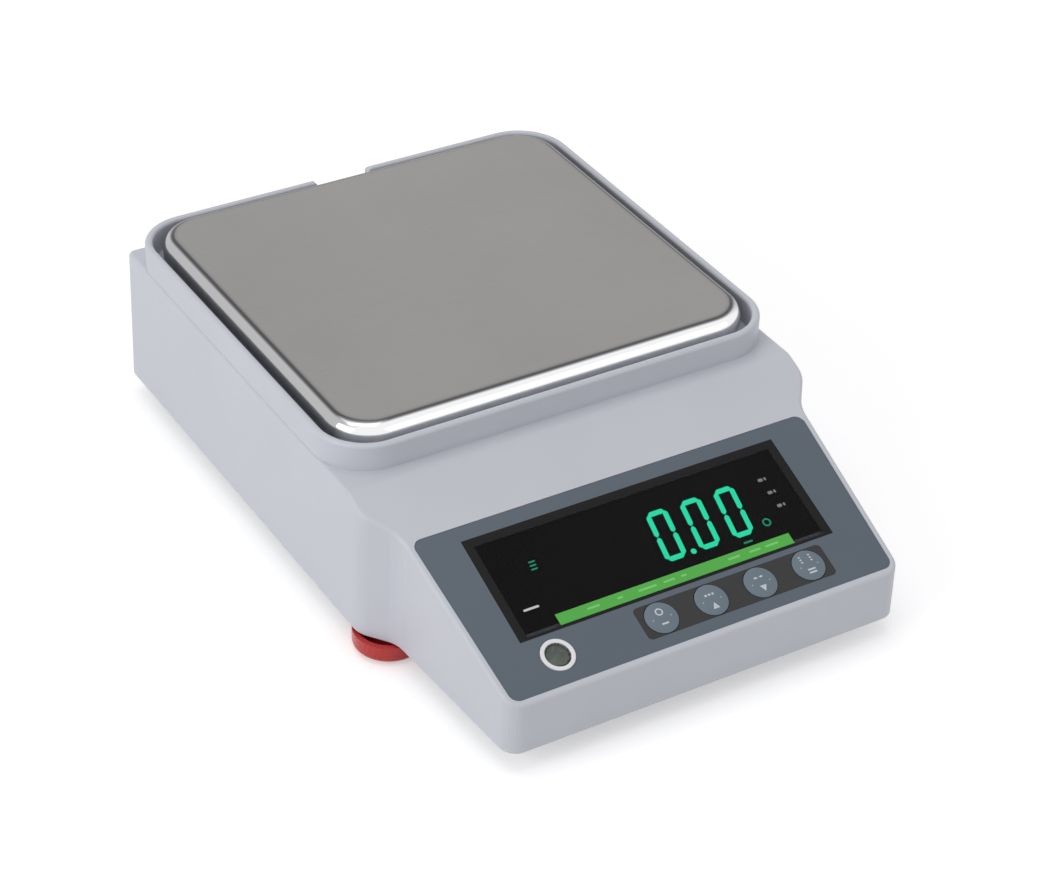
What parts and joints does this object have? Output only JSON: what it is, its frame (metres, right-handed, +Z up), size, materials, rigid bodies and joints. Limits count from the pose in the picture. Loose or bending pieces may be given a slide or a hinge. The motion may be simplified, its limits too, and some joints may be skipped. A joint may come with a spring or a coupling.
{
  "type": "precision balance",
  "caption": "Precision balance with a square steel pan in a raised rim, a waisted console with a sloped lit display and keys, a round level, and red levelling knobs.",
  "frame": {"origin": "on the table, under the middle of the body's plan", "axes": "+Z up, +Y from the display towards the back, +X to the user's right"},
  "size_m": [0.202, 0.291, 0.0828],
  "materials": {
    "housing_grey": "fine moulded texture",
    "base_grey": "moulded",
    "pan_steel": "satin top, bright rolled edge",
    "overlay_slate": "printed film",
    "strip_black": "satin",
    "window_black": "tinted",
    "module_black": "matte",
    "lit_green": "lit",
    "key_grey": "satin",
    "ring_white": "gloss",
    "cup_black": "satin",
    "vial_glass": "clear",
    "liquid_green": "clear tinted",
    "board_green": "solder mask",
    "cell_aluminium": "machined and cast",
    "screw_steel": "zinc plated",
    "insert_brass": "machined",
    "knob_red": "moulded",
    "rubber_black": "matte"
  },
  "bodies": {
    "housing": {"upper_housing": "housing_grey", "pan_rim": "housing_grey", "bay_panel": "base_grey", "base_plate": "base_grey", "housing_screws": "screw_steel", "load_cell": "cell_aluminium", "cell_spacer": "cell_aluminium", "cell_base_screws": "screw_steel", "overload_stops": "screw_steel", "keypad_overlay": "overlay_slate", "key_strip": "strip_black", "display_window": "window_black", "display_module": "module_black", "display_segments": "lit_green", "display_board": "module_black", "display_screws": "screw_steel", "keypad_switches": "cup_black", "keypad_board": "board_green", "keypad_screws": "screw_steel", "level_ring": "ring_white", "level_cup": "cup_black", "level_vial": "vial_glass", "level_liquid": "liquid_green", "main_board": "board_green", "main_board_parts": "cup_black", "board_screws": "screw_steel", "foot_inserts": "insert_brass", "rear_feet": "rubber_black", "rear_foot_screws": "screw_steel", "serial_shell": "screw_steel", "serial_body": "cup_black", "serial_jack_screws": "screw_steel", "dc_jack": "cup_black", "dc_jack_nut": "screw_steel", "dc_jack_pin": "screw_steel", "power_switch": "cup_black"},
    "carrier": {"carrier_bracket": "cell_aluminium", "bracket_screws": "screw_steel", "support_post": "cell_aluminium", "pan_support": "cell_aluminium", "support_screws": "screw_steel", "pan_buffers": "rubber_black"},
    "pan": {"weighing_pan": "pan_steel"},
    "rocker": {"power_rocker": "cup_black"},
    "key_1": {"key_1": "key_grey"},
    "key_2": {"key_2": "key_grey"},
    "key_3": {"key_3": "key_grey"},
    "key_4": {"key_4": "key_grey"},
    "left_foot": {"left_foot_pad": "rubber_black"},
    "left_knob": {"left_foot_knob": "knob_red", "left_foot_stud": "screw_steel"},
    "right_foot": {"right_foot_pad": "rubber_black"},
    "right_knob": {"right_foot_knob": "knob_red", "right_foot_stud": "screw_steel"}
  },
  "joints": [
    {"name": "carrier_flex", "type": "slide", "parent": "housing", "child": "carrier", "axis": [0, 0, 1], "range_m": [-0.0004, 0], "stiffness_N_per_m": 75000, "springref_m": 0.0002, "deforming": ["load_cell"]},
    {"name": "pan_lift", "type": "slide", "parent": "carrier", "child": "pan", "axis": [0, 0, 1], "range_m": [0, 0.06]},
    {"name": "power_rock", "type": "hinge", "parent": "housing", "child": "rocker", "pos_m": [0.032, 0.1335, 0.035], "axis": [1, 0, 0], "range_deg": [-18, 0]},
    {"name": "key_1_press", "type": "slide", "parent": "housing", "child": "key_1", "axis": [0, -0.3567, 0.9342], "range_m": [-0.0005, 0], "stiffness_N_per_m": 3000, "springref_m": 0.0002},
    {"name": "key_2_press", "type": "slide", "parent": "housing", "child": "key_2", "axis": [0, -0.3567, 0.9342], "range_m": [-0.0005, 0], "stiffness_N_per_m": 3000, "springref_m": 0.0002},
    {"name": "key_3_press", "type": "slide", "parent": "housing", "child": "key_3", "axis": [0, -0.3567, 0.9342], "range_m": [-0.0005, 0], "stiffness_N_per_m": 3000, "springref_m": 0.0002},
    {"name": "key_4_press", "type": "slide", "parent": "housing", "child": "key_4", "axis": [0, -0.3567, 0.9342], "range_m": [-0.0005, 0], "stiffness_N_per_m": 3000, "springref_m": 0.0002},
    {"name": "left_foot_extend", "type": "slide", "parent": "housing", "child": "left_foot", "axis": [0, 0, 1], "range_m": [-0.006, 0]},
    {"name": "left_knob_turn", "type": "hinge", "parent": "left_foot", "child": "left_knob", "pos_m": [-0.087, -0.058, 0], "axis": [0, 0, 1], "range_deg": [-2160, 0]},
    {"name": "right_foot_extend", "type": "slide", "parent": "housing", "child": "right_foot", "axis": [0, 0, 1], "range_m": [-0.006, 0]},
    {"name": "right_knob_turn", "type": "hinge", "parent": "right_foot", "child": "right_knob", "pos_m": [0.087, -0.058, 0], "axis": [0, 0, 1], "range_deg": [-2160, 0]}
  ],
  "couplings": [
    {"joint": "left_knob_turn", "follows": "left_foot_extend", "rad_per_m": 6283.2},
    {"joint": "right_knob_turn", "follows": "right_foot_extend", "rad_per_m": 6283.2}
  ]
}
